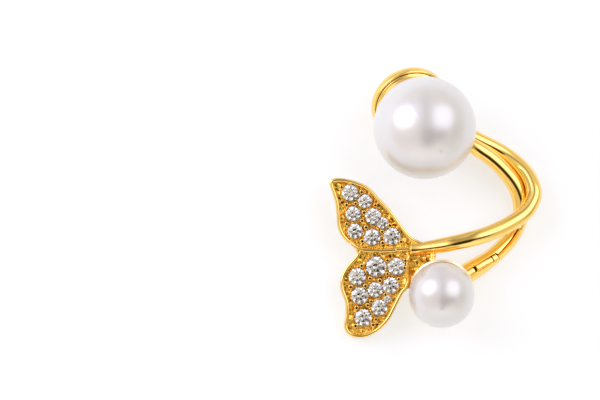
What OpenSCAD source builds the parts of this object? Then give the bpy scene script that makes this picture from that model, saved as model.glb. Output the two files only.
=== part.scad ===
// Butterfly ear cuff: an open gold C of two wires with a large pearl at one end,
// and half a butterfly set with stones beside a small pearl at the other end.
// Millimetres. Every piece is drawn as it is seen from the front, x to the right,
// y up and z towards the eye, with the middle of the large pearl at the origin.
// lay_down() then turns and lifts the whole cuff to the way it rests on a table.

/* [Pearls] */
// Diameter of the large pearl
large_pearl_d = 10; // [9.8:0.1:10.2]
// Diameter of the small pearl
small_pearl_d = 6.4; // [6.2:0.1:6.5]
// Clearance between a pearl and its gold seat
pearl_gap = 0.04; // [0.02:0.01:0.08]
// Diameter of the peg that holds a pearl
peg_d = 0.9; // [0.7:0.1:1.2]
// How far a peg reaches into its pearl
peg_depth = 2.2; // [1.5:0.1:2.6]

/* [Wires] */
// Diameter of both wires
wire_d = 1.52; // [1.3:0.02:1.6]
// Diameter of the front wire where it runs into the wing
wire_tip_d = 1.2; // [1:0.02:1.3]
// Width of the back wire where it meets the small seat
wire_foot_w = 2.1; // [1.8:0.05:2.1]
// Width of the slot in the back wire
slot_w = 0.6; // [0.4:0.05:0.7]
// Diameter of the short leaf that lies in the slot
leaf_d = 0.56; // [0.4:0.02:0.6]
// How far the leaf lies below the middle of the slot
leaf_sink = 0.12; // [0.1:0.02:0.2]

/* [Large seat] */
// Diameter of the rolled rim, along its middle line
seat_ring_d = 6; // [5.8:0.1:6.4]
// Thickness of the rolled rim
seat_bead_d = 1.7; // [1.5:0.05:1.8]
// Wall of the dish inside the rim
seat_wall = 0.5; // [0.4:0.05:0.7]
// How far the seat is tipped back from the view
seat_tilt = 34; // [30:1:36]
// Direction in which the seat shows past the pearl, counted from the right
seat_turn = 121; // [117:1:125]

/* [Small seat] */
// Wall of the small cup
cup_wall = 0.22; // [0.18:0.02:0.3]
// How far the cup's rim lies behind the middle of the small pearl
cup_set_back = 1.3; // [1:0.05:1.5]
// How far the cup is tipped up
cup_tilt = 22; // [18:1:26]

/* [Wing] */
// Depth of the wing at its rim
wing_depth = 1.3; // [1.2:0.05:1.4]
// Depth from the rim's top down to the paved floor
floor_drop = 0.42; // [0.3:0.02:0.5]
// Width of the raised rim
rim_w = 0.36; // [0.3:0.02:0.42]
// Depth from the paved floor down to the solder web beside the cup
web_drop = 0.2; // [0.1:0.05:0.3]
// Place of the wing's back face, counted forward from the large pearl's middle
wing_back_z = -1.6; // [-1.7:0.05:-1.5]

/* [Rest] */
// Turn about the x axis that lays the cuff on the table
lean_x = 11.5; // [8:0.1:13]
// Turn about the y axis that lays the cuff on the table
lean_y = -8.75; // [-11:0.05:-7]
// Distance that the cuff is moved to the right after the turns
move_x = -1.67; // [-3:0.01:0]
// Distance that the cuff is moved back after the turns
move_y = 6.8; // [5:0.01:8]
// Distance that the cuff is lifted after the turns
move_z = 6.64; // [6:0.01:7]

/* [Hidden] */

gold = [0.93, 0.72, 0.27];
pearl_white = [0.92, 0.91, 0.9];

large_r = large_pearl_d / 2;
small_r = small_pearl_d / 2;
wire_r = wire_d / 2;
bead_r = seat_bead_d / 2;
// How far a peg is rooted in the wall of its seat
peg_root = cup_wall / 2;
wing_top_z = wing_back_z + wing_depth;
floor_z = wing_top_z - floor_drop;

// The rolled rim just clears the large pearl all the way round.
seat_drop = sqrt(pow(large_r + pearl_gap + bead_r, 2) - pow(seat_ring_d / 2, 2));
small_pearl_at = [1.64, -16.25, 0.9];

facets_round = 32;
facets_wire = 14;
route_steps = 3;
outline_steps = 2;

// Route of the front wire, from the back of the large seat to the wing.
// Columns: x, y, z, radius.
front_route = [
    [-1.3, 2.5, -5.5, wire_r],
    [1.8, 0.75, -5.65, wire_r],
    [4.73, -0.91, -5.75, wire_r],
    [6.58, -1.81, -6, wire_r],
    [7.98, -2.61, -6.1, wire_r],
    [9.36, -3.73, -5.85, 0.76],
    [10.27, -4.88, -5.35, 0.76],
    [10.74, -6.3, -4.75, 0.77],
    [10.45, -7.34, -4.3, 0.76],
    [9.71, -8.39, -3.75, 0.77],
    [8.11, -9.44, -2.95, 0.77],
    [6.38, -10.23, -2.13, 0.77],
    [4.95, -10.69, -1.66, 0.77],
    [3.51, -11.05, -1.53, 0.75],
    [2.49, -11.27, -1.45, 0.75],
    [1.49, -11.47, -1.22, 0.74],
    [-0.55, -11.75, -0.6, wire_tip_d / 2],
    [-1.5, -11.82, -0.6, wire_tip_d / 2]
];

// Route of the back wire, from the back of the large seat to the small cup.
// Columns: x, y, z, half width.
back_route = [
    [-1.3, 2, -5.5, wire_r],
    [1.8, 0, -5.1, wire_r],
    [4.83, -1.83, -4.6, wire_r],
    [6.64, -3.07, -4.95, 0.77],
    [7.98, -4.37, -5.3, 0.79],
    [8.93, -5.67, -5.6, 0.84],
    [9.42, -7.01, -5.8, 0.86],
    [9.47, -8.19, -5.8, 0.83],
    [9.25, -9.16, -5.6, 0.79],
    [8.34, -10.84, -5, 0.81],
    [6.61, -12.54, -4, 0.86],
    [5.3, -13.44, -3.25, 0.98],
    [4.1, -14.18, -2.5, wire_foot_w / 2],
    [3.1, -14.9, -1.9, wire_foot_w / 2]
];

// Line of the slot in the face of the back wire. Columns: x, y, z.
slot_route = [
    [9.02, -10.2, -4.42],
    [8.14, -11.3, -3.93],
    [7.2, -12.25, -3.4],
    [5.8, -13.3, -2.55],
    [4.6, -14.1, -1.8]
];

// Outline of the solder web between the hind wing, the front wire and the cup. Columns: x, y.
web_outline = [
    [-1.8, -11.9],
    [0.6, -11.5],
    [1.3, -11.8],
    [1.2, -12.9],
    [0.2, -13.25],
    [-0.6, -13.95],
    [-1.15, -14.8],
    [-1.45, -15.6],
    [-1.75, -15.9],
    [-2, -15.5],
    [-1.6, -14.5]
];

// The post between the front wire and the cup: its two ends and its diameter.
post_from = [0.7, -11.8, -0.95];
post_to = [0.8, -13.4, -0.4];
post_d = 0.7;

// Outline of the fore wing, from its tip round by the right. Columns: x, y.
fore_outline = [
    [-9.25, -5.37],
    [-8.88, -4.94],
    [-7.83, -4.93],
    [-6.65, -5.21],
    [-5.44, -5.76],
    [-4.38, -6.87],
    [-3.19, -8.14],
    [-2.01, -9.76],
    [-1.14, -10.69],
    [-0.5, -11.1],
    [-0.5, -11.75],
    [-1.33, -11.9],
    [-3.6, -12],
    [-5.8, -12.05],
    [-6.59, -12.07],
    [-7.65, -11.02],
    [-8.4, -9.92],
    [-8.56, -8.4],
    [-8.69, -7.27],
    [-9, -6.24]
];

// Outline of the hind wing, from the notch along the rib and round. Columns: x, y.
hind_outline = [
    [-6.5, -12.05],
    [-5.8, -11.9],
    [-3.6, -11.85],
    [-1.5, -11.8],
    [-1.3, -12.4],
    [-1.44, -13.7],
    [-1.55, -14.9],
    [-2.05, -15.95],
    [-2.91, -17.7],
    [-3.49, -18.73],
    [-4.43, -19.69],
    [-5.45, -20.27],
    [-6.28, -20.42],
    [-7.22, -20.23],
    [-7.82, -19.41],
    [-7.68, -17.9],
    [-7.74, -16.92],
    [-8.18, -15.61],
    [-8.11, -14.48],
    [-7.65, -13.54],
    [-7, -12.78]
];

// A point on the smooth curve through b and c, a part t of the way from b to c.
function between(a, b, c, d, t) =
    0.5 * (2 * b + (c - a) * t + (2 * a - 5 * b + 4 * c - d) * t * t
        + (3 * b - a - 3 * c + d) * t * t * t);

// The points of a smooth open curve through every row of a table.
function open_curve(rows, steps) = concat(
    [for (i = [0 : len(rows) - 2], k = [0 : steps - 1])
        between(rows[max(i - 1, 0)], rows[i], rows[i + 1],
            rows[min(i + 2, len(rows) - 1)], k / steps)],
    [rows[len(rows) - 1]]);

// The points of a smooth closed curve through every row of a table.
function closed_curve(rows, steps) =
    [for (i = [0 : len(rows) - 1], k = [0 : steps - 1])
        between(rows[(i + len(rows) - 1) % len(rows)], rows[i],
            rows[(i + 1) % len(rows)], rows[(i + 2) % len(rows)], k / steps)];

function place(row) = [row[0], row[1], row[2]];

// A round wire along a table of x, y, z and radius.
module wire(rows) {
    points = open_curve(rows, route_steps);
    for (i = [0 : len(points) - 2])
        hull() {
            translate(place(points[i]))
                sphere(r = points[i][3], $fn = facets_wire);
            translate(place(points[i + 1]))
                sphere(r = points[i + 1][3], $fn = facets_wire);
        }
}

// Turns what is drawn round the z axis to face the large pearl from its seat.
module on_seat_axis() {
    rotate([0, 0, seat_turn])
        rotate([0, -seat_tilt, 0])
            children();
}

// Turns what is drawn round the z axis to face the small pearl from its cup.
module on_cup_axis() {
    translate(small_pearl_at)
        rotate([cup_tilt, 0, 0])
            children();
}

// The part of a ball that lies behind a flat rim.
module bowl(r, rim_back) {
    difference() {
        sphere(r = r, $fn = facets_round);
        translate([-2 * r, -2 * r, -rim_back])
            cube(4 * r);
    }
}

// The rolled rim and the dish that the large pearl sits in.
module large_seat() {
    on_seat_axis() {
        translate([0, 0, -seat_drop])
            rotate_extrude($fn = facets_round)
                translate([seat_ring_d / 2, 0])
                    circle(r = bead_r, $fn = facets_wire);
        bowl(large_r + pearl_gap + seat_wall, seat_drop);
    }
}

// The cup that the small pearl sits in.
module small_seat() {
    on_cup_axis()
        bowl(small_r + pearl_gap + cup_wall, cup_set_back);
}

// The room that the two pearls need in the gold.
module pearl_spaces() {
    on_seat_axis()
        sphere(r = large_r + pearl_gap, $fn = facets_round);
    on_cup_axis()
        sphere(r = small_r + pearl_gap, $fn = facets_round);
}

// A peg from a seat into its pearl.
module peg(pearl_r) {
    root = pearl_gap + peg_root;
    translate([0, 0, -pearl_r - root])
        cylinder(d = peg_d, h = peg_depth + root, $fn = facets_wire);
}

// One wing: a plate with a raised rim.
module wing(outline) {
    shape = closed_curve(outline, outline_steps);
    translate([0, 0, wing_back_z])
        linear_extrude(floor_z - wing_back_z)
            polygon(shape);
    translate([0, 0, wing_back_z])
        linear_extrude(wing_depth)
            difference() {
                polygon(shape);
                offset(delta = -rim_w)
                    polygon(shape);
            }
}

// The back wire, with a slot in its face and a short leaf lying in the slot.
module slotted_wire() {
    difference() {
        wire(back_route);
        for (i = [0 : len(slot_route) - 2])
            bar(slot_route[i], slot_route[i + 1], slot_w);
    }
    translate([0, 0, -leaf_sink])
        for (i = [2 : len(slot_route) - 2])
            bar(slot_route[i], slot_route[i + 1], leaf_d);
}

// A short round bar between two places.
module bar(from, to, d) {
    hull() {
        translate(from)
            sphere(d = d, $fn = facets_wire);
        translate(to)
            sphere(d = d, $fn = facets_wire);
    }
}

// The solder web and the post that tie the wing, the front wire and the cup together.
module solder_links() {
    translate([0, 0, wing_back_z])
        linear_extrude(wing_depth - floor_drop - web_drop)
            polygon(web_outline);
    bar(post_from, post_to, post_d);
}

module frame_gold() {
    difference() {
        union() {
            large_seat();
            small_seat();
            wire(front_route);
            slotted_wire();
            wing(fore_outline);
            wing(hind_outline);
            solder_links();
        }
        pearl_spaces();
    }
    on_seat_axis()
        peg(large_r);
    on_cup_axis()
        peg(small_r);
}

// A pearl with a blind hole for its peg.
module drilled_pearl(d) {
    difference() {
        sphere(d = d, $fn = 96);
        translate([0, 0, -d])
            cylinder(d = peg_d + 2 * pearl_gap, h = d / 2 + peg_depth + pearl_gap,
                $fn = 32);
    }
}

module lay_down() {
    translate([move_x, move_y, move_z])
        rotate([lean_x, lean_y, 0])
            children();
}

module gold_frame() {
    color(gold)
        lay_down()
            frame_gold();
}

module large_pearl() {
    color(pearl_white)
        lay_down()
            on_seat_axis()
                drilled_pearl(large_pearl_d);
}

module small_pearl() {
    color(pearl_white)
        lay_down()
            on_cup_axis()
                drilled_pearl(small_pearl_d);
}

gold_frame();
large_pearl();
small_pearl();
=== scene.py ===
"""Looks of a butterfly ear cuff: polished gold wires, a paved half butterfly and two pearls.

Lengths are millimetres in the drawn frame, which is how the cuff is seen from the front: x to the right,
y up, z towards the eye, with the middle of the large pearl at the origin. TO_ROW turns them to the
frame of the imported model, in metres, where the cuff lies on the floor.
"""
import math

import bpy
import numpy as np
from mathutils import Euler, Matrix, Vector, geometry


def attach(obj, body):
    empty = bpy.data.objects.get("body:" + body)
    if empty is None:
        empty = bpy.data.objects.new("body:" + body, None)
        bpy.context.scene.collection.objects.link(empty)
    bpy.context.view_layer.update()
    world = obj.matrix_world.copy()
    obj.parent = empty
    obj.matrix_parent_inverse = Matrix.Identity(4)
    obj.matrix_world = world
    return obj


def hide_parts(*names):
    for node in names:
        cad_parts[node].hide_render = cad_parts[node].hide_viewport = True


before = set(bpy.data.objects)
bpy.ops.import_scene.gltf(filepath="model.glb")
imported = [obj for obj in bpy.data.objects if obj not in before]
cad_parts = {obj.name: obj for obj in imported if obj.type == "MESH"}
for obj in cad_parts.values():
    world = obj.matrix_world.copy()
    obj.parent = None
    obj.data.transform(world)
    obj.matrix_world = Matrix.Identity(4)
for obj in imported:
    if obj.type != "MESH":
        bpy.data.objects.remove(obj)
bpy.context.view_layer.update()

MM = 0.001

# How the cuff lies on the floor, the same turns and moves as the construction's.
LEAN_X = math.radians(11.5)
LEAN_Y = math.radians(-8.75)
MOVE = Vector((-1.67, 6.8, 6.64))
TURN = Euler((LEAN_X, LEAN_Y, 0.0), "XYZ").to_matrix().to_4x4()
REST = Matrix.Translation(MOVE) @ TURN
TO_ROW = Matrix.Scale(MM, 4) @ REST

# Driving dimensions, the same as the construction's.
LARGE_R = 5.0
SMALL_R = 3.2
PEARL_GAP = 0.04
SMALL_AT = Vector((1.64, -16.25, 0.9))
WIRE_R = 0.76
SEAT_RING_R = 3.0
SEAT_BEAD_R = 0.85
SEAT_WALL = 0.5
SEAT_TILT = math.radians(34)
SEAT_TURN = math.radians(121)
CUP_WALL = 0.22
CUP_LIP_FALL = 0.55
SEAT_GROOVE_ANGLE = math.radians(41)
SEAT_GROOVE_HALF = 0.11
SEAT_GROOVE_DEPTH = 0.12
SEAT_RIDGE = 0.025
CUP_SET_BACK = 1.3
CUP_TILT = math.radians(22)
WING_BACK_Z = -1.6
WING_TOP_Z = -0.3
RIM_W = 0.36
FLOOR_DROP = 0.42
FLOOR_Z = WING_TOP_Z - FLOOR_DROP

# The photo: its scale and the pixel of the large pearl's middle.
PX_PER_MM = 10.3
LARGE_PX = (424.7, 127.7)
PHOTO_SIZE = (600, 400)

# Route of the front wire. Columns: x, y, z, radius.
FRONT_ROUTE = [
    (-1.3, 2.5, -5.5, WIRE_R),
    (1.8, 0.75, -5.65, WIRE_R),
    (4.73, -0.91, -5.75, WIRE_R),
    (6.58, -1.81, -6, WIRE_R),
    (7.98, -2.61, -6.1, WIRE_R),
    (9.36, -3.73, -5.85, WIRE_R),
    (10.27, -4.88, -5.35, WIRE_R),
    (10.74, -6.3, -4.75, 0.77),
    (10.45, -7.34, -4.3, WIRE_R),
    (9.71, -8.39, -3.75, 0.77),
    (8.11, -9.44, -2.95, 0.77),
    (6.38, -10.23, -2.13, 0.77),
    (4.95, -10.69, -1.66, 0.77),
    (3.51, -11.05, -1.53, 0.75),
    (2.49, -11.27, -1.45, 0.75),
    (1.49, -11.47, -1.22, 0.74),
    (-0.55, -11.75, -0.6, 0.6),
    (-1.36, -11.8, -0.46, 0.58),
]

# Route of the back wire. Columns: x, y, z, half width.
BACK_ROUTE = [
    (-1.3, 2.0, -5.5, WIRE_R),
    (1.8, 0.0, -5.1, WIRE_R),
    (4.83, -1.83, -4.6, WIRE_R),
    (6.64, -3.07, -4.95, 0.77),
    (7.98, -4.37, -5.3, 0.79),
    (8.93, -5.67, -5.6, 0.84),
    (9.42, -7.01, -5.8, 0.86),
    (9.47, -8.19, -5.8, 0.83),
    (9.25, -9.16, -5.6, 0.79),
    (8.34, -10.84, -5, 0.81),
    (6.61, -12.54, -4, 0.86),
    (5.3, -13.44, -3.25, 0.98),
    (4.1, -14.18, -2.5, 1.05),
    (3.1, -14.9, -1.9, 1.05),
]

# Middle line of the slot in the back wire's face, and of the leaf that lies in its wide part.
# Columns: x, y.
SLOT_ROUTE = [
    (9.15, -9.95),
    (8.97, -10.24),
    (8.65, -10.66),
    (8.37, -11.1),
    (8.1, -11.43),
    (7.72, -11.83),
    (7.2, -12.38),
    (6.88, -12.65),
    (5.7, -13.3),
    (4.9, -13.78),
    (3.9, -14.4),
]

# Outline of both wings and of the web beside them, from the fore wing's tip round by the right.
# Columns: x, y.
WING_OUTLINE = [
    (-9.25, -5.37),
    (-8.88, -4.94),
    (-7.83, -4.93),
    (-6.65, -5.21),
    (-5.44, -5.76),
    (-4.38, -6.87),
    (-3.19, -8.14),
    (-2.01, -9.76),
    (-1.14, -10.69),
    (-0.23, -11.1),
    (0.6, -11.5),
    (1.0, -11.9),
    (1.02, -12.8),
    (0.2, -13.25),
    (-0.6, -13.95),
    (-1.15, -14.8),
    (-1.42, -15.5),
    (-1.8, -15.75),
    (-2.2, -16.3),
    (-2.91, -17.7),
    (-3.49, -18.73),
    (-4.43, -19.69),
    (-5.45, -20.27),
    (-6.28, -20.42),
    (-7.22, -20.23),
    (-7.82, -19.41),
    (-7.68, -17.9),
    (-7.74, -16.92),
    (-8.18, -15.61),
    (-8.11, -14.48),
    (-7.65, -13.54),
    (-7.04, -12.82),
    (-6.6, -12.29),
    (-6.59, -12.07),
    (-6.95, -11.56),
    (-7.65, -11.02),
    (-8.25, -10.23),
    (-8.51, -9.31),
    (-8.56, -8.4),
    (-8.69, -7.27),
    (-9, -6.24),
]

# The rib between the two wings, from the notch to the front wire. Columns: x, y.
RIB_ROUTE = [
    (-7.1, -11.3),
    (-6.6, -11.66),
    (-5.9, -11.88),
    (-4.34, -11.95),
    (-2.9, -11.88),
    (-1.33, -11.8),
    (-0.4, -11.8),
]

# The hind wing's rim where the solder web runs on past it. Columns: x, y.
WEB_RIM_ROUTE = [
    (-1.5, -12.5),
    (-1.66, -13.2),
    (-1.66, -14.0),
    (-1.6, -14.8),
    (-1.8, -15.45),
    (-2.25, -16.3),
]

# The stones: where each one's middle is in the photo, and its diameter in mm.
STONES = [
    (350.2, 193.2, 1.65),
    (365.1, 201.3, 1.37),
    (353.2, 213.9, 1.5),
    (373.4, 216.6, 1.6),
    (382.4, 223.0, 1.2),
    (355.0, 231.1, 1.5),
    (372.2, 237.2, 1.65),
    (392.0, 236.3, 1.7),
    (376.1, 266.7, 2.0),
    (396.7, 266.7, 1.7),
    (357.3, 276.9, 1.7),
    (390.5, 285.2, 1.6),
    (375.2, 290.0, 1.5),
    (359.6, 295.7, 1.7),
    (387.3, 298.9, 0.75),
    (379.3, 307.8, 1.6),
    (363.1, 317.7, 1.7),
]

# The gold grains that hold the stones: where each one's middle is in the photo.
GRAINS = [
    (341.5, 186.9), (361.5, 191.8), (346.4, 204.7), (355.5, 203.3), (375.2, 205.0),
    (363.9, 212.2), (346.6, 223.7), (361.9, 220.5), (389.7, 225.1), (366.0, 227.1),
    (382.0, 231.4), (362.1, 240.9), (382.5, 242.6), (400.9, 241.5), (387.3, 260.0),
    (405.2, 260.3), (361.5, 265.4), (387.3, 273.7), (369.8, 278.2), (379.6, 280.4),
    (398.6, 278.8), (404.4, 267.6), (350.6, 286.8), (365.3, 285.8), (371.0, 301.1),
    (367.5, 305.0), (356.4, 307.5), (385.4, 294.4), (375.8, 319.0), (355.4, 325.7),
    (372.9, 324.4),
]
GRAIN_R = 0.24
GRAIN_SIZES = (0.92, 1.08)
STONE_TILT = 0.06
GRAIN_LEAN = math.radians(9)
# The stones' girdles lie a little above the cut floor, and the grains' middles above the girdles.
GIRDLE_Z = FLOOR_Z + 0.2
GRAIN_Z = GIRDLE_Z + 0.1

# Points of a smooth curve between two rows of a route's table.
CURVE_STEPS = 24
# Rings of a wire's rounded end, and the least share of the wire's radius that its last ring keeps.
CAP_RINGS = 8
CAP_TIP = 0.02


def from_photo(px, py):
    """The drawn x and y of a pixel of the photo."""
    return (px - LARGE_PX[0]) / PX_PER_MM, (LARGE_PX[1] - py) / PX_PER_MM


def smooth_steps(rows, spacing, sigma, closed=False):
    """Points a spacing apart on a smooth curve through a table's rows, rounded over a length of sigma."""
    rows = np.array(rows, dtype=float)
    count = len(rows)
    if closed:
        before, a, b, after = (np.roll(rows, k, axis=0) for k in (1, 0, -1, -2))
    else:
        padded = np.vstack([2 * rows[0] - rows[1], rows, 2 * rows[-1] - rows[-2]])
        before, a, b, after = (padded[k:k + count - 1] for k in range(4))
    t = np.linspace(0, 1, CURVE_STEPS, endpoint=False)[None, :, None]
    before, a, b, after = (v[:, None, :] for v in (before, a, b, after))
    curve = 0.5 * (2 * a + (b - before) * t + (2 * before - 5 * a + 4 * b - after) * t ** 2
                   + (3 * a - before - 3 * b + after) * t ** 3)
    curve = curve.reshape(-1, rows.shape[1])
    curve = np.vstack([curve, rows[:1] if closed else rows[-1:]])
    axes = 2 if rows.shape[1] == 2 else 3
    along = np.concatenate([[0], np.cumsum(np.linalg.norm(np.diff(curve[:, :axes], axis=0), axis=1))])
    steps = max(8, int(round(along[-1] / spacing)))
    at = np.linspace(0, along[-1], steps + 1)
    even = np.column_stack([np.interp(at, along, column) for column in curve.T])
    step = along[-1] / steps
    reach = int(math.ceil(3 * sigma / step))
    weights = np.exp(-0.5 * (np.arange(-reach, reach + 1) * step / sigma) ** 2)
    weights /= weights.sum()
    if closed:
        even = even[:-1]
        padded = np.vstack([even[-reach:], even, even[:reach]])
    else:
        head = 2 * even[0] - even[1:reach + 1][::-1]
        tail = 2 * even[-1] - even[-reach - 1:-1][::-1]
        padded = np.vstack([head, even, tail])
    return np.column_stack([np.convolve(column, weights, mode="valid") for column in padded.T])


def unit_rows(rows):
    """Each row of a table made 1 long."""
    return rows / np.linalg.norm(rows, axis=1)[:, None]


def across_wire(tangent):
    """The ways to a wire's front and to its side, both square to its tangent."""
    front = np.array([0.0, 0.0, 1.0]) - tangent[2] * tangent
    front /= np.linalg.norm(front)
    return front, np.cross(tangent, front)


def new_object(name, data):
    """A new object in the scene."""
    obj = bpy.data.objects.new(name, data)
    bpy.context.scene.collection.objects.link(obj)
    return obj


def new_piece(name, points, faces, material, place=Matrix(), smooth=True):
    """A mesh object from drawn points in mm, moved by place, which rides on the root body."""
    mesh = bpy.data.meshes.new(name)
    to = np.array(TO_ROW @ place)
    points = np.asarray(points, dtype=float) @ to[:3, :3].T + to[:3, 3]
    mesh.from_pydata(points.tolist(), [], [list(f) for f in faces])
    mesh.validate()
    mesh.polygons.foreach_set("use_smooth", [smooth] * len(mesh.polygons))
    mesh.materials.append(material)
    piece = new_object(name, mesh)
    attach(piece, "root")
    return piece


def joined(parts):
    """Points and faces of several (points, faces) put together."""
    points = []
    faces = []
    for part_points, part_faces in parts:
        start = sum(len(p) for p in points)
        points.append(np.asarray(part_points, dtype=float))
        faces += [tuple(start + i for i in face) for face in part_faces]
    return np.vstack(points), faces


def ring_faces(rings, around, closed_ends=True):
    """Quads between neighbouring rings of points, with one face across each end."""
    faces = []
    for i in range(rings - 1):
        for j in range(around):
            k = (j + 1) % around
            faces.append((i * around + j, i * around + k, (i + 1) * around + k, (i + 1) * around + j))
    if closed_ends:
        faces.append(tuple(reversed(range(around))))
        faces.append(tuple(range((rings - 1) * around, rings * around)))
    return faces


def tube(route, skin, round_start=1.0, round_end=1.0):
    """A wire along route, whose rows are x, y, z and radius. skin(i) gives each ring's angles and depths."""
    centre = route[:, :3]
    radius = route[:, 3]
    tangent = unit_rows(np.gradient(centre, axis=0))
    cap = np.linspace(0, math.pi / 2, CAP_RINGS + 1)[1:]
    head = [(0, -round_start * math.sin(t), math.cos(t)) for t in cap[::-1]]
    tail = [(len(route) - 1, round_end * math.sin(t), math.cos(t)) for t in cap]
    stations = head + [(i, 0.0, 1.0) for i in range(len(route))] + tail
    rings = []
    for i, ahead, share in stations:
        front, side = across_wire(tangent[i])
        middle = centre[i] + tangent[i] * ahead * radius[i]
        angles, depths = skin(i)
        reach = (radius[i] - depths) * max(share, CAP_TIP)
        rings.append(middle + reach[:, None] * (np.cos(angles)[:, None] * front + np.sin(angles)[:, None] * side))
    return np.vstack(rings), ring_faces(len(stations), len(angles))


def round_skin(count):
    """The same evenly spaced angles and no depth at every ring."""
    angles = np.linspace(0, 2 * math.pi, count, endpoint=False)
    return lambda i: (angles, np.zeros(count))


def lathe(profile, around):
    """A surface turned round the z axis from a profile of r and z that starts and ends on the axis."""
    turns = np.linspace(0, 2 * math.pi, around, endpoint=False)
    inner = profile[1:-1]
    points = [(r * math.cos(t), r * math.sin(t), z) for r, z in inner for t in turns]
    faces = ring_faces(len(inner), around, closed_ends=False)
    first = len(points)
    points += [(0.0, 0.0, profile[0][1]), (0.0, 0.0, profile[-1][1])]
    last_ring = (len(inner) - 1) * around
    for j in range(around):
        k = (j + 1) % around
        faces.append((first, k, j))
        faces.append((first + 1, last_ring + j, last_ring + k))
    return points, faces


def arc(radius, start, end, steps):
    """Points of r and z on an arc round the origin, with angles counted from the +r direction."""
    return [(radius * math.cos(t), radius * math.sin(t)) for t in np.linspace(start, end, steps)]


def paint(piece, material, faces):
    """Gives some of a piece's faces, told by their index, one more material."""
    piece.data.materials.append(material)
    for k in faces:
        piece.data.polygons[k].material_index = len(piece.data.materials) - 1


def faces_on(rings, around):
    """The indices of the faces that follow some rings of a turned surface."""
    return [ring * around + k for ring in rings for k in range(around)]


class Tree:
    """A node tree with short calls."""

    def __init__(self, tree):
        self.tree = tree

    def fill(self, socket, value):
        """Links a socket to another one, or gives it a plain value."""
        if isinstance(value, bpy.types.NodeSocket):
            self.tree.links.new(value, socket)
        else:
            socket.default_value = value

    def add(self, kind, inputs=None, **settings):
        """A new node with its settings and its inputs."""
        node = self.tree.nodes.new(kind)
        for key, value in settings.items():
            setattr(node, key, value)
        for key, value in (inputs or {}).items():
            self.fill(node.inputs[key], value)
        return node


class Nodes(Tree):
    """A material's node tree."""

    def __init__(self, name):
        self.material = bpy.data.materials.new(name)
        self.material.use_nodes = True
        super().__init__(self.material.node_tree)
        self.shader = self.tree.nodes["Principled BSDF"]

    def set(self, **values):
        """Sets the shader's inputs, with _ for each space in a name."""
        for key, value in values.items():
            self.fill(self.shader.inputs[key.replace("_", " ")], value)

    def place(self):
        """The place on the piece, in metres."""
        return self.add("ShaderNodeTexCoord").outputs["Object"]

    def noise(self, scale, detail):
        """A noise from 0 to 1 that stays where it is on the piece."""
        inputs = {"Vector": self.place(), "Scale": scale, "Detail": detail}
        return self.add("ShaderNodeTexNoise", inputs).outputs["Fac"]

    def spread(self, value, low, high):
        """A value from 0 to 1 turned to one from low to high."""
        return self.add("ShaderNodeMapRange", {"Value": value, "To Min": low, "To Max": high}).outputs["Result"]

    def bump(self, height, strength, distance):
        """The normal of a surface with small bumps, whose full height is a distance in metres."""
        inputs = {"Height": height, "Strength": strength, "Distance": distance}
        return self.add("ShaderNodeBump", inputs).outputs["Normal"]

    def ramp(self, factor, stops):
        """A colour that follows a factor through some stops."""
        node = self.add("ShaderNodeValToRGB", {"Fac": factor})
        elements = node.color_ramp.elements
        while len(elements) < len(stops):
            elements.new(0.5)
        for element, (at, colour) in zip(elements, stops):
            element.position = at
            element.color = (*colour, 1.0)
        return node.outputs["Color"]


def polished_gold():
    """Mirror-bright plated gold under clear lacquer, faintly uneven from polishing and finely scratched."""
    n = Nodes("polished_gold")
    soft = n.noise(700.0, 2.0)
    fine = n.noise(9000.0, 3.0)
    colour = n.ramp(soft, [(0.35, (1.0, 0.66, 0.155)), (0.65, (1.0, 0.69, 0.18))])
    n.set(Base_Color=colour, Metallic=1.0, Roughness=n.spread(fine, 0.07, 0.15),
          Normal=n.bump(soft, 0.05, 0.0001), Coat_Weight=1.0, Coat_Roughness=0.06, Coat_IOR=1.5)
    return n.material


def cut_gold_painted_shade():
    """Gold cut bright with a graver between the stones, darker than the polished gold as painted shade on the
    sunken floor, and unevenly so at random.
    """
    n = Nodes("cut_gold_painted_shade")
    cells = n.add("ShaderNodeTexVoronoi", {"Vector": n.place(), "Scale": 5000.0}).outputs["Distance"]
    fine = n.noise(9000.0, 3.0)
    colour = n.ramp(fine, [(0.3, (0.72, 0.4, 0.055)), (0.7, (0.86, 0.54, 0.1))])
    n.set(Base_Color=colour, Metallic=1.0, Roughness=n.spread(fine, 0.1, 0.26),
          Normal=n.bump(cells, 0.25, 0.00005))
    return n.material


def lip_gold_painted_highlight():
    """The cup's lip, rougher and a little less bright than the rest, and paler as a painted highlight."""
    n = Nodes("lip_gold_painted_highlight")
    fine = n.noise(5000.0, 3.0)
    colour = n.ramp(fine, [(0.3, (1.0, 0.86, 0.6)), (0.7, (1.0, 0.9, 0.68))])
    n.set(Base_Color=colour, Metallic=1.0, Roughness=0.34, Normal=n.bump(fine, 0.1, 0.00001))
    return n.material


def painted_shade():
    """Near-black painted shade for the bottom of the slot, the seat's groove and the seats under the stones."""
    n = Nodes("painted_shade")
    fine = n.noise(6000.0, 3.0)
    colour = n.ramp(fine, [(0.3, (0.02, 0.006, 0.002)), (0.7, (0.05, 0.015, 0.004))])
    n.set(Base_Color=colour, Roughness=0.6, Normal=n.bump(fine, 0.2, 0.00002))
    return n.material


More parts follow.
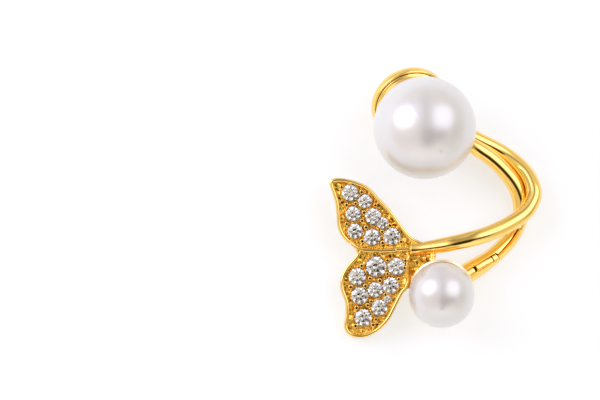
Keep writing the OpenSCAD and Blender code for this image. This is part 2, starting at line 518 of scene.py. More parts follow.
def pearl_skin():
    """A white pearl coat: soft depth under a clear gloss, a rosy heart and a cool edge."""
    n = Nodes("pearl_skin")
    cloud = n.noise(260.0, 2.0)
    fine = n.noise(5200.0, 2.0)
    facing = n.add("ShaderNodeLayerWeight", {"Blend": 0.35}).outputs["Facing"]
    body = n.ramp(cloud, [(0.35, (0.64, 0.625, 0.615)), (0.65, (0.64, 0.64, 0.635))])
    edge = n.ramp(facing, [(0.0, (0.98, 0.95, 0.95)), (0.6, (1.0, 1.0, 1.0)), (1.0, (0.98, 0.985, 0.965))])
    colour = n.add("ShaderNodeMix", {"Factor": 1.0, 6: body, 7: edge}, data_type="RGBA",
                   blend_type="MULTIPLY").outputs[2]
    n.set(Base_Color=colour, Roughness=0.38, IOR=2.2, Normal=n.bump(fine, 0.04, 0.00005),
          Coat_Weight=1.0, Coat_Roughness=0.28, Coat_IOR=2.8,
          Subsurface_Weight=0.15, Subsurface_Scale=0.0006, Subsurface_Radius=(1.0, 0.8, 0.7))
    return n.material


def clear_stone():
    """Colourless cut stone."""
    n = Nodes("clear_stone")
    n.set(Base_Color=(0.91, 0.89, 0.86, 1.0), Roughness=0.0, IOR=2.16, Transmission_Weight=1.0)
    return n.material


GOLD = polished_gold()
CUT_GOLD_PAINTED_SHADE = cut_gold_painted_shade()
PEARL = pearl_skin()
LIP_GOLD_PAINTED_HIGHLIGHT = lip_gold_painted_highlight()
PAINTED_SHADE = painted_shade()
STONE = clear_stone()


# Spacing of the wires' rings, the length over which their routes are rounded, and points round a wire.
FRONT_STEP = 0.12
BACK_STEP = 0.07
ROUTE_SOFT = 0.3
WIRE_AROUND = 72


def front_wire():
    """The front wire, which ends nearly flat where the rib begins."""
    route = smooth_steps(FRONT_ROUTE, FRONT_STEP, ROUTE_SOFT)
    points, faces = tube(route, round_skin(WIRE_AROUND), round_end=0.25)
    return new_piece("front_wire", points, faces, GOLD)


# Sections of the slot. Columns: place across the wire, counted from the slot's line, and depth.
NARROW_SLOT = [
    (-0.36, 0), (-0.27, 0), (-0.17, 0.14), (-0.1, 0.34), (-0.07, 0.8), (0.09, 0.8), (0.11, 0), (0.2, 0),
]
WIDE_SLOT = [
    (-0.52, 0), (-0.42, 0), (-0.35, 0.16), (-0.31, 0.34), (-0.28, 0.4), (0.32, 0.4), (0.34, 0), (0.43, 0),
]
# Points from one row of a section to the next, and on the rest of the way round the wire.
SLOT_FINE = 4
REST_AROUND = 64
# Which points of a section lie along the slot's bottom, and the depth from which it gets painted shade.
SLOT_BOTTOM = range(15, 21)
SHADE_DEPTH = 0.35
# The lengths over which the slot opens and over which it widens, and where it is wide.
SLOT_START = 0.12
SLOT_WIDENS = 0.08
LEAF_FROM_X = 7.0
# The leaf's half width, its crown's radius, how far its middle lies under the wire's face, and how sharp
# the edge between its sides and its crown is.
LEAF_HALF = 0.29
LEAF_CROWN_R = 0.7
LEAF_SINK = 0.2
LEAF_SHARP = 8.0
LEAF_AROUND = 64
# The bead, the leaf and the stub in the slot. Columns: x of the start and x of the end.
LEAF_PARTS = [
    (7.02, 6.64),
    (6.52, 5.02),
    (4.76, 3.7),
]


def nearest_on(line, at):
    """The index of the place on a line nearest to a point, both in x and y."""
    return int(np.argmin(np.linalg.norm(line[:, :2] - at, axis=1)))


def clamped(share):
    """A share kept between 0 and 1."""
    return min(1.0, max(0.0, share))


def back_wire():
    """The back wire with its slot: narrow and deep above, wider and shallow where the leaf lies."""
    route = smooth_steps(BACK_ROUTE, BACK_STEP, ROUTE_SOFT)
    slot = smooth_steps(SLOT_ROUTE, spacing=0.03, sigma=0.15)
    tangent = unit_rows(np.gradient(route[:, :3], axis=0))
    narrow, wide = np.array(NARROW_SLOT), np.array(WIDE_SLOT)
    rows = np.arange(len(narrow))
    at = np.arange(0, rows[-1] + 1e-9, 1 / SLOT_FINE)
    first = nearest_on(route, slot[0])
    sections = []
    for i in range(len(route)):
        _, side = across_wire(tangent[i])
        if i > first:
            ahead = tangent[i, :2] / np.linalg.norm(tangent[i, :2])
            k = int(np.argmin(np.abs((slot - route[i, :2]) @ ahead)))
            across = float((slot[k] - route[i, :2]) @ side[:2])
            wide_share = clamped((LEAF_FROM_X - slot[k][0]) / SLOT_WIDENS)
        else:
            across = float((slot[0] - route[first, :2]) @ side[:2])
            wide_share = 0.0
        section = narrow * (1 - wide_share) + wide * wide_share
        places = np.interp(at, rows, section[:, 0])
        depths = np.interp(at, rows, section[:, 1]) * clamped((i - first) * BACK_STEP / SLOT_START)
        near = np.arcsin(np.clip((across + places) / route[i, 3], -0.98, 0.98))
        rest = np.linspace(near[-1], near[0] + 2 * math.pi, REST_AROUND + 2)[1:-1]
        sections.append((np.concatenate([near, rest]), np.concatenate([depths, np.zeros(REST_AROUND)])))
    points, faces = tube(route, lambda i: sections[i])
    piece = new_piece("back_wire", points, faces, GOLD)
    around = len(at) + REST_AROUND
    # Painted shade: the slot's deep bottom gets the near-black material.
    paint(piece, PAINTED_SHADE, [(i + CAP_RINGS) * around + j for i in range(first, len(route) - 1)
                              if sections[i][1].max() > SHADE_DEPTH for j in SLOT_BOTTOM])
    return piece, route, slot


def leaf_skin(_):
    """The section of the leaf, the same at every ring: straight sides under a low crown."""
    angles = np.linspace(0, 2 * math.pi, LEAF_AROUND, endpoint=False)
    below = LEAF_CROWN_R - LEAF_HALF
    crown = np.sqrt(LEAF_CROWN_R ** 2 - (below * np.sin(angles)) ** 2) - below * np.abs(np.cos(angles))
    side = LEAF_HALF / np.maximum(np.abs(np.sin(angles)), 0.01)
    return angles, LEAF_HALF - (crown ** -LEAF_SHARP + side ** -LEAF_SHARP) ** (-1 / LEAF_SHARP)


def wire_leaf(route, slot):
    """The short flat leaf that lies in the slot, with a bead before it and a stub behind it."""
    shapes = []
    for from_x, to_x in LEAF_PARTS:
        line = slot[(slot[:, 0] <= from_x) & (slot[:, 0] >= to_x)]
        rows = []
        for x, y in line:
            k = nearest_on(route, (x, y))
            off = math.hypot(route[k, 0] - x, route[k, 1] - y)
            top = math.sqrt(max(route[k, 3] ** 2 - off ** 2, 0.01))
            rows.append((x, y, route[k, 2] + top - LEAF_SINK, LEAF_HALF))
        fine = smooth_steps(rows, spacing=0.05, sigma=0.08)
        shapes.append(tube(fine, leaf_skin, round_start=0.25, round_end=0.25))
    points, faces = joined(shapes)
    return new_piece("wire_leaf", points, faces, GOLD)


def seat_axis():
    """How the large pearl's seat is turned and tilted behind it."""
    return Matrix.Rotation(SEAT_TURN, 4, "Z") @ Matrix.Rotation(-SEAT_TILT, 4, "Y")


def cup_axis():
    """Where the small pearl's cup is, and its tilt."""
    return Matrix.Translation(SMALL_AT) @ Matrix.Rotation(CUP_TILT, 4, "X")


# Places across the groove in the seat's rim and the ridge beside it, counted from the groove's middle in
# halves of its width; then the ridge's middle and how far it spreads, and the part that gets painted shade.
GROOVE_STEPS = [-3.2, -2.9, -2.5, -2.1, -1.8, -1.3, -1.0, -0.8, -0.4, 0.0, 0.4, 0.8, 1.0, 1.3]
RIDGE_AT = -2.1
RIDGE_SPREAD = 1.2
GROOVE_SHADE = 0.7
# Points on the rim's section, on the dish's and the cup's arcs, and round each of them.
RIM_STEPS = 48
DISH_STEPS = 24
DISH_AROUND = 144
CUP_STEPS = 32
CUP_AROUND = 128
# Points on the cup's flat lip, as shares of the way from its outer edge to its inner one.
LIP_SHARES = (0.06, 0.15, 0.85, 0.94)


def seat_rim_section(start, end):
    """Angles and radii round the rolled rim's section, with a fine ridge and a groove beside it."""
    smooth = np.linspace(start, end, RIM_STEPS)
    near = SEAT_GROOVE_ANGLE + SEAT_GROOVE_HALF * np.array(GROOVE_STEPS)
    angles = np.sort(np.concatenate([smooth[(smooth < near[0]) | (smooth > near[-1])], near]))
    past = angles - SEAT_GROOVE_ANGLE
    cut = SEAT_GROOVE_DEPTH * np.clip(1 - np.abs(past) / SEAT_GROOVE_HALF, 0, 1)
    ridge = SEAT_RIDGE * np.clip(1 - (past / SEAT_GROOVE_HALF - RIDGE_AT) ** 2 / RIDGE_SPREAD, 0, 1)
    return angles, SEAT_BEAD_R - cut + ridge


def large_seat():
    """The dish behind the large pearl, with its rolled rim."""
    inner = LARGE_R + PEARL_GAP
    outer = inner + SEAT_WALL
    reach = inner + SEAT_BEAD_R
    drop = math.sqrt(reach ** 2 - SEAT_RING_R ** 2)
    bead_angle = math.atan2(SEAT_RING_R, drop)
    spread = math.acos((outer ** 2 + reach ** 2 - SEAT_BEAD_R ** 2) / (2 * outer * reach))
    meet = bead_angle - spread
    down = -math.pi / 2
    back = arc(outer, down, down + meet, DISH_STEPS)
    join = (outer * math.sin(meet), -outer * math.cos(meet))
    start = math.atan2(join[1] + drop, join[0] - SEAT_RING_R)
    end = math.pi / 2 + bead_angle
    angles, radii = seat_rim_section(start, end)
    rim = [(SEAT_RING_R + r * math.cos(t), -drop + r * math.sin(t)) for t, r in zip(angles, radii)]
    front = arc(inner, down + bead_angle, down, DISH_STEPS)
    points, faces = lathe(back + rim[1:-1] + front, DISH_AROUND)
    piece = new_piece("large_seat", points, faces, GOLD, seat_axis())
    # Painted shade: the groove's middle gets the near-black material, a painted dark line.
    grooved = np.nonzero(np.abs(angles - SEAT_GROOVE_ANGLE) < GROOVE_SHADE * SEAT_GROOVE_HALF)[0][:-1]
    paint(piece, PAINTED_SHADE, faces_on([len(back) - 2 + int(i) for i in grooved], DISH_AROUND))
    return piece


def small_cup():
    """The thin cup round the back of the small pearl, with a flat lip that falls away outwards."""
    inner = SMALL_R + PEARL_GAP
    outer = inner + CUP_WALL
    down = -math.pi / 2
    rim_angle = math.acos(CUP_SET_BACK / inner)
    back = arc(outer, down, down + rim_angle - CUP_LIP_FALL * CUP_WALL / outer, CUP_STEPS)
    front = arc(inner, down + rim_angle, down, CUP_STEPS)
    edge, brim = np.array(back[-1]), np.array(front[0])
    lip = [tuple(edge + share * (brim - edge)) for share in LIP_SHARES]
    points, faces = lathe(back + lip + front, CUP_AROUND)
    piece = new_piece("small_cup", points, faces, GOLD, cup_axis())
    first = len(back) - 2
    # Painted highlight: the lip gets the paler gold.
    paint(piece, LIP_GOLD_PAINTED_HIGHLIGHT, faces_on(range(first, first + len(lip) + 1), CUP_AROUND))
    return piece


def distance_to(points, line, closed):
    """The least distance from each point to a line of many short pieces, all in x and y."""
    a = line if closed else line[:-1]
    b = np.roll(line, -1, axis=0) if closed else line[1:]
    best = np.full(len(points), np.inf)
    for p, q in zip(a, b):
        ahead = q - p
        t = np.clip(((points - p) @ ahead) / (ahead @ ahead), 0, 1)
        best = np.minimum(best, np.linalg.norm(points - p - t[:, None] * ahead, axis=1))
    return best


def inside(points, outline):
    """Which points lie inside a closed outline."""
    x, y = points.T
    result = np.zeros(len(points), dtype=bool)
    for (ax, ay), (bx, by) in zip(outline, np.roll(outline, -1, axis=0)):
        crosses = (ay > y) != (by > y)
        with np.errstate(divide="ignore", invalid="ignore"):
            result ^= crosses & (x < (bx - ax) * (y - ay) / (by - ay) + ax)
    return result


def stone_places():
    """Each stone's middle and its radius."""
    return [(*from_photo(px, py), size / 2) for px, py, size in STONES]


# The solder web between the hind wing, the front wire and the cup lies lower than the paved floor,
# with hollows beside its post. Columns of a hollow: x, y, radius, depth.
WEB_DROP = 0.2
WEB_TOP_Y = -11.9
WEB_LOW_Y = -16.2
HOLLOWS = [
    (0.34, -12.72, 0.22, 0.55),
    (-1.22, -14.05, 0.24, 0.3),
    (-1.5, -15.25, 0.16, 0.3),
]
HOLLOW_STEEP = 1.5
# Spacing of the face's points, and of its rows as a share of that, which makes even triangles.
GRID = 0.045
ROW_SHARE = 0.866
# Half widths of the rib and of the web's rim, and how far the one rises over the outer rim and the other
# stays under it.
RIB_HALF = 0.2
RIB_RISE = 0.04
WEB_RIM_HALF = 0.16
WEB_RIM_SINK = 0.04
# Width and height of the steep skirt beside each bead, and a height that is lower than all others.
SKIRT = 0.07
SKIRT_FALL = 0.5
FAR_BELOW = -10
# The graver's facets: their spacing, how far each is off its place, its greatest tilts and rise, how soft
# the edges between them are, and the share of all this on the web.
CELL = 0.33
FACET_OFF = 0.4
FACET_TILT = 0.35
FACET_RISE = 0.04
FACET_SOFT = 0.006
WEB_CUT = 0.5
# The gold collar round each stone: how far it reaches, over what width it fades, and how far it rises
# over the girdle.
COLLAR = 0.16
COLLAR_FADE = 0.12
COLLAR_RISE = 0.01
# The hole under each stone: its gap round the stone, its edge's depth under the girdle, and its slope.
HOLE_GAP = 0.02
HOLE_SINK = 0.05
HOLE_SLOPE = 0.95
# How far the polished gold reaches from the middles of the beads (from the outline for the rim), where
# the face ends behind, and how far inside a stone's edge its seat gets painted shade.
RIM_GOLD = RIM_W + 0.03
RIB_GOLD = 0.24
WEB_RIM_GOLD = 0.2
FACE_FROM_Z = WING_BACK_Z + 0.3
SEAT_INSET = 0.1
# The side wall and the small round before the back face. Columns: how far inside the outline, z.
WALL_LEVELS = [
    (0.0, WING_BACK_Z + 0.5),
    (0.0, WING_BACK_Z + 0.12),
    (0.035, WING_BACK_Z + 0.035),
    (0.12, WING_BACK_Z),
]


def right_of_web_rim(points, web_rim):
    """Which points lie on the web: right of the hind wing's own rim and below the front wire."""
    edge_x = np.interp(-points[:, 1], -web_rim[:, 1], web_rim[:, 0])
    return (points[:, 0] > edge_x) & (points[:, 1] < WEB_TOP_Y) & (points[:, 1] > WEB_LOW_Y)


def bead(distance, half, top):
    """The height of a half-round bead by distance from its middle line, with short steep skirts."""
    round_part = top - half + np.sqrt(np.clip(half ** 2 - distance ** 2, 0, None))
    skirt_part = top - half - np.clip((distance - half) / SKIRT, 0, 1) ** 0.5 * SKIRT_FALL
    return np.where(distance < half, round_part, np.where(distance < half + SKIRT, skirt_part, FAR_BELOW))


def bead_offsets(half):
    """Places across a bead and its two skirts, counted from its middle line."""
    side = [half * share for share in (0.35, 0.65, 0.85, 0.96, 1.0)]
    side += [half + SKIRT * share for share in (0.4, 1.0)]
    return [-place for place in side[::-1]] + [0.0] + side


def left_of(line, closed):
    """The way to the left at each point of a line."""
    ahead = np.roll(line, -1, axis=0) - np.roll(line, 1, axis=0) if closed else np.gradient(line, axis=0)
    ahead = unit_rows(ahead)
    return np.column_stack([-ahead[:, 1], ahead[:, 0]])


def lines_beside(line, offsets, closed):
    """Points on lines that run along a line at some distances to its left."""
    left = left_of(line, closed)
    kept = []
    for offset in offsets:
        row = line + left * offset
        kept.append(row[distance_to(row, line, closed) >= abs(offset) * 0.95 - 1e-6])
    return np.vstack(kept)


def clear_of(points, line, half, closed=False):
    """The points that keep clear of the bead along a line and of its skirts."""
    return points[distance_to(points, line, closed) > half + SKIRT + GRID / 2]


def cut_floor(points, rng):
    """Small facets of many tilts, as a graver leaves them, with soft edges between them."""
    low = points.min(axis=0)
    high = points.max(axis=0)
    seeds = []
    for gx in np.arange(low[0], high[0] + CELL, CELL):
        for gy in np.arange(low[1], high[1] + CELL, CELL):
            seeds.append((gx + rng.uniform(-FACET_OFF, FACET_OFF) * CELL,
                          gy + rng.uniform(-FACET_OFF, FACET_OFF) * CELL,
                          rng.uniform(-FACET_TILT, FACET_TILT), rng.uniform(-FACET_TILT, FACET_TILT),
                          rng.uniform(-FACET_RISE, FACET_RISE)))
    seeds = np.array(seeds)
    floor = np.empty(len(points))
    step = 4000
    for start in range(0, len(points), step):
        way = points[start:start + step, None, :] - seeds[None, :, :2]
        away = (way ** 2).sum(axis=2)
        weights = np.exp(-(away - away.min(axis=1)[:, None]) / FACET_SOFT)
        heights = (way * seeds[None, :, 2:4]).sum(axis=2) + seeds[:, 4]
        floor[start:start + step] = (weights * heights).sum(axis=1) / weights.sum(axis=1)
    return floor


def wing_heights(points, outline, rib, web_rim):
    """The height of the wing's face at each point: rim, rib, cut floor and the seats of the stones."""
    rng = np.random.default_rng(7)
    edge = distance_to(points, outline, True)
    on_web = right_of_web_rim(points, web_rim)
    z = FLOOR_Z + cut_floor(points, rng) * np.where(on_web, WEB_CUT, 1.0)
    z -= WEB_DROP * on_web
    for x, y, r, depth in HOLLOWS:
        away = np.hypot(points[:, 0] - x, points[:, 1] - y)
        z -= depth * np.exp(-(away / r) ** 2 * HOLLOW_STEEP)
    for x, y, r in stone_places():
        away = np.hypot(points[:, 0] - x, points[:, 1] - y)
        collar = np.clip((r + COLLAR - away) / COLLAR_FADE, 0, 1)
        z = z * (1 - collar) + np.maximum(z, GIRDLE_Z + COLLAR_RISE) * collar
    for x, y, r in stone_places():
        away = np.hypot(points[:, 0] - x, points[:, 1] - y)
        share = np.clip((r + HOLE_GAP - away) / (r * HOLE_SLOPE), 0, 1)
        hole = GIRDLE_Z - HOLE_SINK - share * r * HOLE_SLOPE
        z = np.where(away < r + HOLE_GAP, np.minimum(z, hole), z)
    half = RIM_W / 2
    rim = bead(np.where(edge < half, half - edge, edge - half), half, WING_TOP_Z)
    rim = np.where(on_web, FAR_BELOW, rim)
    outer = (edge < half) & on_web
    rim = np.where(outer, FLOOR_Z - WEB_DROP - (half - edge), rim)
    rib_bead = bead(distance_to(points, rib, False), RIB_HALF, WING_TOP_Z + RIB_RISE)
    web_bead = bead(distance_to(points, web_rim, False), WEB_RIM_HALF, WING_TOP_Z - WEB_RIM_SINK)
    return np.maximum(np.maximum(np.maximum(z, rim), rib_bead), web_bead)


def face_points(outline, rib, web_rim, turn):
    """The points of the wing's face: its outline, then lines along its beads, then an even grid."""
    low = outline.min(axis=0)
    high = outline.max(axis=0)
    rows = []
    for i, y in enumerate(np.arange(low[1], high[1], GRID * ROW_SHARE)):
        xs = np.arange(low[0] + (i % 2) * GRID / 2, high[0], GRID)
        rows.append(np.column_stack([xs, np.full(len(xs), y)]))
    grid = np.vstack(rows)
    grid = clear_of(grid[inside(grid, outline)], outline, RIM_W, closed=True)
    grid = clear_of(clear_of(grid, rib, RIB_HALF), web_rim, WEB_RIM_HALF)
    half = RIM_W / 2
    across = [turn * (half + place) for place in bead_offsets(half) if place > -0.9 * half]
    rim_lines = lines_beside(outline, across, True)
    rib_lines = lines_beside(rib, bead_offsets(RIB_HALF), False)
    web_lines = lines_beside(web_rim, bead_offsets(WEB_RIM_HALF), False)
    inner = np.vstack([rib_lines, clear_of(web_lines, rib, RIB_HALF)])
    inner = clear_of(inner[inside(inner, outline)], outline, RIM_W, closed=True)
    return np.vstack([outline, rim_lines, inner, grid])


def wing_plate():
    """Both wings: one plate with a raised rim and rib, and a floor cut for the stones."""
    outline = smooth_steps(WING_OUTLINE, spacing=0.05, sigma=0.12, closed=True)
    rib = smooth_steps(RIB_ROUTE, spacing=0.06, sigma=0.2)
    web_rim = smooth_steps(WEB_RIM_ROUTE, spacing=0.06, sigma=0.15)
    count = len(outline)
    after = np.roll(outline, -1, axis=0)
    turn = 1 if np.sum(outline[:, 0] * after[:, 1] - after[:, 0] * outline[:, 1]) > 0 else -1
    flat = [Vector(p) for p in face_points(outline, rib, web_rim, turn)]
    edges = [(i, (i + 1) % count) for i in range(count)]
    verts, _, faces, _, _, _ = geometry.delaunay_2d_cdt(flat, edges, [], 1, 1e-6)
    top = np.array([(v.x, v.y) for v in verts])
    points = [np.column_stack([top, wing_heights(top, outline, rib, web_rim)])]
    faces = [tuple(f) for f in faces]
    inward = left_of(outline, True) * turn
    start = len(top)
    previous = list(range(count))
    for inset, level in WALL_LEVELS:
        points.append(np.column_stack([outline + inward * inset, np.full(count, level)]))
        current = list(range(start, start + count))
        start += count
        for i, k in edges:
            faces.append((previous[i], current[i], current[k], previous[k]))
        previous = current
    faces.append(tuple(reversed(previous)) if turn > 0 else tuple(previous))
    piece = new_piece("wing_plate", np.vstack(points), faces, GOLD)
    return piece, outline, rib, web_rim


def paint_floor(piece, outline, rib, web_rim):
    """Gives the cut floor its darker gold, painted shade, and the seats under the stones a near-black painted
    shade; the beads stay polished.
    """
    mesh = piece.data
    mesh.materials.append(CUT_GOLD_PAINTED_SHADE)
    mesh.materials.append(PAINTED_SHADE)
    cut, shaded = 1, 2
    to_drawn = np.array(TO_ROW.inverted())
    centres = np.empty(len(mesh.polygons) * 3)
    mesh.polygons.foreach_get("center", centres)
    centres = centres.reshape(-1, 3) @ to_drawn[:3, :3].T + to_drawn[:3, 3]
    flat = centres[:, :2]
    on_bead = distance_to(flat, outline, True) < RIM_GOLD
    on_bead |= distance_to(flat, rib, False) < RIB_GOLD
    on_bead |= distance_to(flat, web_rim, False) < WEB_RIM_GOLD
    front = centres[:, 2] > FACE_FROM_Z
    chosen = front & (~on_bead | right_of_web_rim(flat, web_rim))
    kind = np.where(chosen, cut, 0)
    # Painted shade: the seats under the stones turn near-black, which darkens the stones.
    for x, y, r in stone_places():
        kind[front & (np.hypot(flat[:, 0] - x, flat[:, 1] - y) < r - SEAT_INSET)] = shaded
    mesh.polygons.foreach_set("material_index", kind)


# The grains' shape, from the top down. Columns: share of the radius, height under the top.
GRAIN_PROFILE = [
    (0.02, 0.0), (0.45, -0.008), (0.62, -0.025), (0.72, -0.07), (0.8, -0.15),
    (0.88, -0.3), (0.94, -0.48), (0.98, -0.72), (1.0, -1.0), (1.02, -1.6),
]
GRAIN_AROUND = 24


def grain_shape(x, y, r):
    """A gold dome with a flattened top that leans a little downwards, which overlaps its stones' edges."""
    points = []
    for part, drop in GRAIN_PROFILE:
        for turn in np.linspace(0, 2 * math.pi, GRAIN_AROUND, endpoint=False):
            across, up, out = part * math.cos(turn), part * math.sin(turn), 1 + drop
            points.append((x + r * across,
                           y + r * (up * math.cos(GRAIN_LEAN) - out * math.sin(GRAIN_LEAN)),
                           GRAIN_Z + r * (up * math.sin(GRAIN_LEAN) + out * math.cos(GRAIN_LEAN))))
    return points, [tuple(reversed(f)) for f in ring_faces(len(GRAIN_PROFILE), GRAIN_AROUND)]


def grains(name, chosen):
    """One piece of all the chosen grains, which differ a little in size."""
    shapes = []
    rng = np.random.default_rng(11)
    for px, py in chosen:
        x, y = from_photo(px, py)
        shapes.append(grain_shape(x, y, GRAIN_R * rng.uniform(*GRAIN_SIZES)))
    points, faces = joined(shapes)
    return new_piece(name, points, faces, GOLD)


def brilliant(radius):
    """A round brilliant cut stone of 57 facets, with its girdle at height 0."""
    table_r, crown, girdle, pavilion = 0.56, 0.35, 0.03, 0.93
    star_r, lower_r = 0.83, 0.26
    eighth = math.pi / 4
    cos_half = math.cos(eighth / 2)

    def at(r, steps, z):
        """A corner at a radius, some eighths of a turn round, and at a height."""
        return (r * math.cos(steps * eighth), r * math.sin(steps * eighth), z)

    star_z = girdle + (crown - girdle) * (1 - star_r * cos_half) / (1 - table_r)
    lower_z = -girdle - (pavilion - girdle) * (1 - lower_r * cos_half)
    points = [at(table_r, k, crown) for k in range(8)]
    points += [at(star_r, k + 0.5, star_z) for k in range(8)]
    points += [at(1.0, j / 2, girdle) for j in range(16)]
    points += [at(1.0, j / 2, -girdle) for j in range(16)]
    points += [at(lower_r, k + 0.5, lower_z) for k in range(8)]
    points.append((0.0, 0.0, -pavilion))
    star, upper, lower, inner, culet = 8, 16, 32, 48, 56
    faces = [tuple(range(8))]
    for k in range(8):
        after = (k + 1) % 8
        before = (k - 1) % 8
        g = [(2 * k + i) % 16 for i in range(3)]
        faces.append((k, star + k, after))
        faces.append((k, star + before, upper + g[0], star + k))
        faces.append((star + k, upper + g[0], upper + g[1]))
        faces.append((star + k, upper + g[1], upper + g[2]))
        faces.append((culet, inner + k, lower + g[0], inner + before))
        faces.append((inner + k, lower + g[1], lower + g[0]))
        faces.append((inner + k, lower + g[2], lower + g[1]))
        for i in (0, 1):
            faces.append((upper + g[i], lower + g[i], lower + g[i + 1], upper + g[i + 1]))
    return np.array(points) * radius, faces


def stones(name, chosen, seed):
    """One piece of all the chosen stones, each turned and tilted a little in its own way."""
    rng = np.random.default_rng(seed)
    shapes = []
    for px, py, size in chosen:
        x, y = from_photo(px, py)
        points, faces = brilliant(size / 2)
        tilt = Euler((rng.uniform(-STONE_TILT, STONE_TILT), rng.uniform(-STONE_TILT, STONE_TILT),
                      rng.uniform(0, math.pi / 4)))
        points = points @ np.array(tilt.to_matrix()).T + np.array((x, y, GIRDLE_Z))
        shapes.append((points, faces))
    points, faces = joined(shapes)
    return new_piece(name, points, faces, STONE, smooth=False)


# Points along a solder link and around it.
LINK_STEPS = 12
LINK_AROUND = 32


def link(start, end, r):
    """A short round bar between two places."""
    line = np.linspace(np.array(start), np.array(end), LINK_STEPS)
    rows = np.column_stack([line, np.full(LINK_STEPS, r)])
    return tube(rows, round_skin(LINK_AROUND), round_start=0.3, round_end=0.3)


# The post between the front wire and the cup, and the bar that runs into the rib.
# Columns: start, end, radius.
SOLDER_LINKS = [
    ((0.72, -11.9, -0.95), (0.8, -13.4, -0.4), 0.27),
    ((-1.44, -11.76, -0.36), (-2.82, -11.84, -0.36), 0.17),
]
# Drops of solder beside the post. Columns: middle in the photo, radius, height.
SOLDER_DROPS = [
    (431.3, 259.6, 0.26, -0.62),
    (428.0, 256.2, 0.2, -0.7),
    (424.2, 258.2, 0.24, -0.72),
    (433.9, 255.6, 0.24, -0.66),
    (414.6, 260.9, 0.17, -0.82),
    (418.6, 256.4, 0.22, -0.9),
]
DROP_STEPS = 14
DROP_AROUND = 20


def drop_shape(px, py, r, z):
    """A round drop, as points and faces."""
    profile = [(r * math.sin(t), z + r * math.cos(t)) for t in np.linspace(math.pi, 0, DROP_STEPS)]
    points, faces = lathe(profile, DROP_AROUND)
    x, y = from_photo(px, py)
    return np.array(points) + np.array((x, y, 0.0)), faces


def solder_links():
    """The post between the front wire and the cup, its drops, and the bar that runs into the rib."""
    shapes = [link(*row) for row in SOLDER_LINKS] + [drop_shape(*row) for row in SOLDER_DROPS]
    points, faces = joined(shapes)
    return new_piece("solder_links", points, faces, GOLD)


# The photo row between the fore wing's stones and grains and the hind wing's.
WINGS_MEET_PY = 250


front = front_wire()
back, back_line, slot_line = back_wire()
leaf = wire_leaf(back_line, slot_line)
seat = large_seat()
cup = small_cup()
plate, wing_line, rib_line, web_rim_line = wing_plate()
paint_floor(plate, wing_line, rib_line, web_rim_line)
fore_grains = grains("fore_grains", [g for g in GRAINS if g[1] < WINGS_MEET_PY])
hind_grains = grains("hind_grains", [g for g in GRAINS if g[1] > WINGS_MEET_PY])
stones("fore_stones", [s for s in STONES if s[1] < WINGS_MEET_PY], 3)
stones("hind_stones", [s for s in STONES if s[1] > WINGS_MEET_PY], 5)
links = solder_links()

for gold_piece in (front, back, leaf, seat, cup, plate, links):
    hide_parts("gold_frame")

for node in ("large_pearl", "small_pearl"):
    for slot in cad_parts[node].material_slots:
        slot.material = PEARL


# The camera looks straight along the drawn z axis, as in the photo, and the photo's middle pixel is its aim.
CAMERA_AWAY = 1400.0
SENSOR = 36.0


def row_place(x, y, z):
    """A place of the drawn frame in the row frame, in metres."""
    return TO_ROW @ Vector((x, y, z))


def row_way(direction):
    """A direction of the drawn frame in the row frame, 1 long."""
    return (TURN.to_3x3() @ Vector(direction)).normalized()


def add_camera():
    """The camera at its long distance, with the photo's scale on the large pearl's middle."""
    camera = bpy.data.cameras.new("camera")
    camera.sensor_width = SENSOR
    camera.lens = SENSOR * CAMERA_AWAY / (PHOTO_SIZE[0] / PX_PER_MM)
    camera.clip_start = 0.01
    camera.clip_end = 10.0
    obj = new_object("camera", camera)
    x, y = from_photo(PHOTO_SIZE[0] / 2, PHOTO_SIZE[1] / 2)
    obj.matrix_world = Matrix.Translation(row_place(x, y, CAMERA_AWAY)) @ TURN
    bpy.context.scene.camera = obj


# The light tent, as panels on its inside. A place there is given in degrees from the lens's axis, to the
# right and up. Its dim parts are warm and its lamps cool, as daylight lamps look beside warm cloth.
# Columns: middle right, middle up, half width, half height, softness, red, green, blue.
TENT_COLOUR = (0.82, 0.76, 0.64)
PANELS = [
    (-30.0, 38.0, 44.0, 22.0, 0.5, 1.0, 1.0, 1.12),
    (0.0, -80.0, 62.0, 36.0, 0.4, 1.3, 1.26, 1.22),
    (2.0, 40.0, 9.0, 44.0, 0.6, 0.42, 0.4, 0.36),
    (72.0, -2.0, 9.0, 18.0, 0.5, 0.5, 0.42, 0.3),
    (7.0, -21.0, 15.0, 22.0, 0.25, 0.03, 0.02, 0.01),
    (42.5, 26.0, 23.0, 26.0, 0.15, 2.0, 1.95, 2.25),
    (28.0, -17.0, 23.0, 9.0, 0.3, 0.05, 0.035, 0.01),
]
# How square a panel is: 2 makes it an ellipse, and more makes its corners fuller.
PANEL_SQUARE = 3.0
# What the soft lamp shines on, in the drawn frame, and half the floor's side in metres.
LAMP_AIM = (1.0, -8.0, 0.0)
FLOOR_HALF = 0.6


def add_softbox(name, direction, distance, size, power, colour):
    """An area light that shines on the cuff from a direction of the drawn frame."""
    light = bpy.data.lights.new(name, "AREA")
    light.shape = "ELLIPSE"
    light.size, light.size_y = (s * MM for s in size)
    light.energy = power
    light.color = colour
    obj = new_object(name, light)
    way = row_way(direction)
    obj.location = row_place(*LAMP_AIM) + way * distance * MM
    obj.rotation_euler = way.to_track_quat("Z", "Y").to_euler()


def add_floor():
    """The white surface that the cuff lies on, which shines a little itself, as lit cloth."""
    half = FLOOR_HALF
    mesh = bpy.data.meshes.new("floor")
    corners = [(-half, -half, 0), (half, -half, 0), (half, half, 0), (-half, half, 0)]
    mesh.from_pydata(corners, [], [(0, 1, 2, 3)])
    n = Nodes("floor_white")
    colour = n.ramp(n.noise(400.0, 3.0), [(0.3, (0.36, 0.37, 0.38)), (0.7, (0.38, 0.39, 0.4))])
    n.set(Base_Color=colour, Roughness=0.7, Emission_Color=(1.0, 1.0, 1.0, 1.0), Emission_Strength=0.64)
    mesh.materials.append(n.material)
    floor = new_object("floor", mesh)


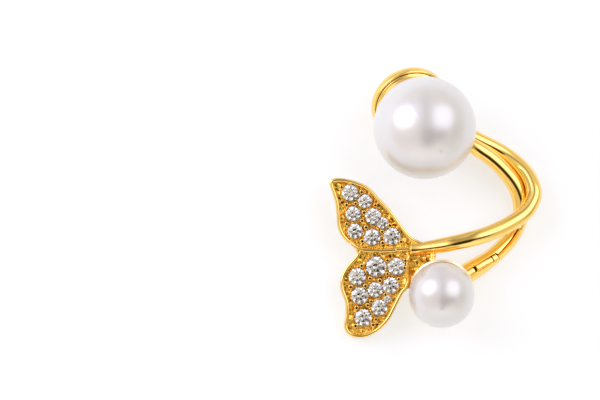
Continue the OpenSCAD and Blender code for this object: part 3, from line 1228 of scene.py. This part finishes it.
def add_world():
    """A light tent with bright and dark panels."""
    world = bpy.data.worlds.new("tent")
    bpy.context.scene.world = world
    world.use_nodes = True
    n = Tree(world.node_tree)
    way = n.add("ShaderNodeTexCoord").outputs["Generated"]

    def along(direction):
        """How far the way goes along a direction of the drawn frame."""
        inputs = {0: way, 1: row_way(direction)}
        return n.add("ShaderNodeVectorMath", inputs, operation="DOT_PRODUCT").outputs["Value"]

    def calc(operation, a, b=0.0):
        """What an operation makes of one or two values."""
        return n.add("ShaderNodeMath", {0: a, 1: b}, operation=operation).outputs["Value"]

    def off_middle(value, middle, half):
        """How far a value is off a panel's middle, in halves of its size, ready to be added."""
        share = calc("DIVIDE", calc("SUBTRACT", value, middle), half)
        return calc("POWER", calc("ABSOLUTE", share), PANEL_SQUARE)

    def fade(value, start, end):
        """1 below start, 0 above end, and smooth between."""
        inputs = {"Value": value, "From Min": start, "From Max": end, "To Min": 1.0, "To Max": 0.0}
        return n.add("ShaderNodeMapRange", inputs, interpolation_type="SMOOTHSTEP").outputs["Result"]

    def towards(under, goal, mask):
        """A colour over another one, as far as the mask says."""
        return n.add("ShaderNodeMix", {0: mask, 6: under, 7: (*goal, 1.0)}, data_type="RGBA").outputs[2]

    right, up, near = along((1, 0, 0)), along((0, 1, 0)), along((0, 0, 1))
    squares = calc("ADD", calc("MULTIPLY", right, right), calc("MULTIPLY", up, up))
    aside = calc("MAXIMUM", calc("SQRT", squares), 0.0001)
    angle = calc("MULTIPLY", calc("ARCCOSINE", near), 180 / math.pi)
    x = calc("MULTIPLY", calc("DIVIDE", angle, aside), right)
    y = calc("MULTIPLY", calc("DIVIDE", angle, aside), up)

    colour = (*TENT_COLOUR, 1.0)
    for at_x, at_y, half_x, half_y, softness, *panel in PANELS:
        both = calc("ADD", off_middle(x, at_x, half_x), off_middle(y, at_y, half_y))
        away = calc("POWER", both, 1 / PANEL_SQUARE)
        colour = towards(colour, panel, fade(away, 1 - softness, 1 + softness))
    n.fill(n.tree.nodes["Background"].inputs["Color"], colour)


add_camera()
add_floor()
add_world()
add_softbox("softbox_left", direction=(-0.694, 0.392, 0.605), distance=200, size=(155, 175), power=0.14,
            colour=(1.0, 0.95, 1.2))
bpy.context.scene.view_settings.view_transform = "Standard"
